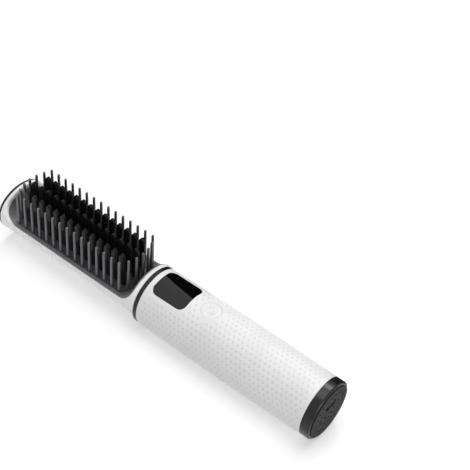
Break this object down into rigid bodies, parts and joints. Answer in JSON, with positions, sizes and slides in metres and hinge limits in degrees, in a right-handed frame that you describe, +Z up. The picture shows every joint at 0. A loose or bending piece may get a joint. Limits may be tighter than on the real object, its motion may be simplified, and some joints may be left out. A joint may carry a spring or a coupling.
{
  "type": "hot comb",
  "caption": "Cordless hot comb: round barrel handle with display window, power button and charging port, and a scooped head with heated teeth edged by cool-touch pins.",
  "frame": {"origin": "middle of the bounding box in plan, on the surface the handle lies on", "axes": "+X along the comb from the tip to the butt, +Y across it, +Z up in the direction of the teeth"},
  "size_m": [0.2384, 0.0384, 0.0477],
  "materials": {
    "shell_white": "satin, smooth",
    "sleeve_white": "matte with fine dimples",
    "trim_black": "satin",
    "bezel_grey": "satin",
    "bed_black": "satin",
    "tooth_black": "ceramic-filled, satin",
    "plate_alloy": "milled",
    "heater_ceramic": "fired ceramic",
    "pad_mica": "mica sheet",
    "clamp_steel": "spring steel",
    "screw_steel": "zinc plated",
    "fuse_metal": "drawn case",
    "bead_glass": "glass-dipped bead",
    "lead_red": "silicone",
    "lead_white": "silicone",
    "window_black": "mirror gloss",
    "module_black": "moulded",
    "button_white": "satin",
    "plunger_black": "moulded",
    "switch_steel": "moulded",
    "board_green": "solder mask",
    "tray_grey": "moulded",
    "cell_wrap": "shrink wrap",
    "tab_nickel": "nickel strip",
    "socket_steel": "stamped"
  },
  "bodies": {
    "comb": {"handle_sleeve": "sleeve_white", "neck_ring": "trim_black", "head_frame": "shell_white", "head_back_cover": "shell_white", "tip_cap": "trim_black", "comb_bezel": "bezel_grey", "pin_comb": "bed_black", "comb_strip_left": "tooth_black", "comb_strip_centre": "tooth_black", "comb_strip_right": "tooth_black", "heating_plate": "plate_alloy", "heater_strip": "heater_ceramic", "insulation_pad": "pad_mica", "heater_clamp": "clamp_steel", "clamp_screws": "screw_steel", "thermal_fuse": "fuse_metal", "thermistor": "bead_glass", "heater_leads": "lead_white", "sensor_leads": "lead_red", "display_window": "window_black", "display_module": "module_black", "tact_switch": "switch_steel", "main_board": "board_green", "board_screws": "screw_steel", "chassis": "tray_grey", "battery_cell": "cell_wrap", "battery_tabs": "tab_nickel", "battery_leads": "lead_red", "charge_board": "board_green", "charge_screws": "screw_steel", "usb_socket": "socket_steel", "end_cap": "trim_black", "end_plate": "trim_black"},
    "button": {"power_button": "button_white", "switch_plunger": "plunger_black"}
  },
  "joints": [
    {"name": "button_press", "type": "slide", "parent": "comb", "child": "button", "axis": [0, 0, -1], "range_m": [0, 0.0005], "stiffness_N_per_m": 1500, "springref_m": -0.0004}
  ]
}
